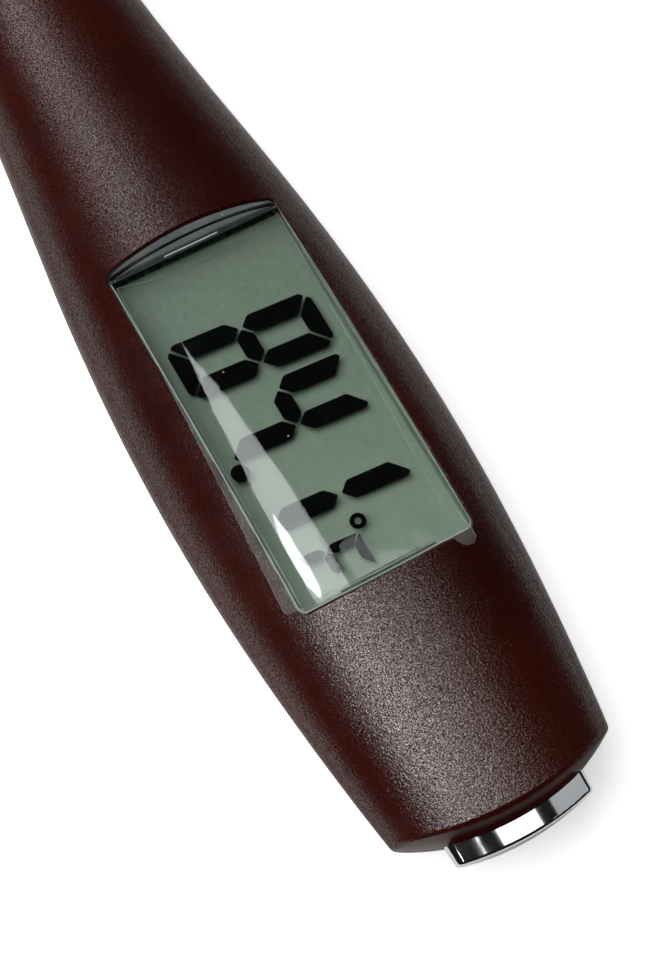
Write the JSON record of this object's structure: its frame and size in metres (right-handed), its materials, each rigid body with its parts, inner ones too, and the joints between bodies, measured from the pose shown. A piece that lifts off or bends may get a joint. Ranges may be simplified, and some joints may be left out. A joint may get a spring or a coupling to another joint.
{
  "type": "digital probe thermometer",
  "caption": "Handheld digital probe thermometer: tapered oval handle with a curved display window, a push button on the end, a collar and a slim pointed steel probe.",
  "frame": {"origin": "on the flat the tool rests on, under the middle of the display window, on the handle's middle plane", "axes": "+X along the tool from the probe tip to the button end, +Y the up direction of the display's digits, +Z out of the display"},
  "size_m": [0.2516, 0.03, 0.0166],
  "materials": {
    "burgundy_shell": "deep burgundy, fine leather-like moulded grain",
    "clear_lens": "polished clear acrylic",
    "clear_film": "thin clear protective film",
    "display_glass": "clear",
    "display_reflector": "grey-green reflector",
    "black_plastic": "fine matt",
    "black_tape": "matt",
    "connector_rubber": "smooth",
    "board_laminate": "solder mask",
    "component_body": "moulded",
    "chrome_plate": "polished",
    "stainless_steel": "fine brushed",
    "nickel_strip": "bright nickel",
    "cell_can": "satin",
    "seal_rubber": "matt",
    "screw_steel": "zinc plated",
    "wire_insulation": "smooth",
    "bead_epoxy": "glossy",
    "switch_stem": "smooth"
  },
  "bodies": {
    "handle": {"upper_shell": "burgundy_shell", "lower_shell": "burgundy_shell", "display_lens": "clear_lens", "screen_film": "clear_film", "lcd_frame": "black_plastic", "lcd_front_glass": "display_glass", "lcd_rear_glass": "display_glass", "lcd_reflector": "display_reflector", "lcd_mask": "black_tape", "elastomer_connector": "connector_rubber", "main_board": "board_laminate", "controller_chip": "component_body", "board_components": "component_body", "switch_body": "black_plastic", "battery_cell": "cell_can", "battery_contact_negative": "nickel_strip", "battery_contact_positive": "nickel_strip", "shell_screws": "screw_steel", "probe_collar": "chrome_plate", "collar_o_ring": "seal_rubber", "probe_ferrule": "stainless_steel", "probe_tube": "stainless_steel", "probe_tip": "stainless_steel", "thermistor_bead": "bead_epoxy", "thermistor_leads": "wire_insulation"},
    "button": {"end_button": "chrome_plate"},
    "plunger": {"switch_plunger": "switch_stem"},
    "battery_cap": {"battery_cap": "burgundy_shell", "battery_cap_seal": "seal_rubber"}
  },
  "joints": [
    {"name": "button_press", "type": "slide", "parent": "handle", "child": "button", "axis": [-1, 0, 0], "range_m": [0, 0.0005]},
    {"name": "plunger_press", "type": "slide", "parent": "handle", "child": "plunger", "axis": [-1, 0, 0], "range_m": [0, 0.0005]},
    {"name": "battery_cap_turn", "type": "hinge", "parent": "handle", "child": "battery_cap", "pos_m": [-0.01, 0, 0.0019], "axis": [0, 0, -1], "range_deg": [0, 45]}
  ],
  "couplings": [
    {"joint": "plunger_press", "follows": "button_press", "ratio": 1}
  ]
}
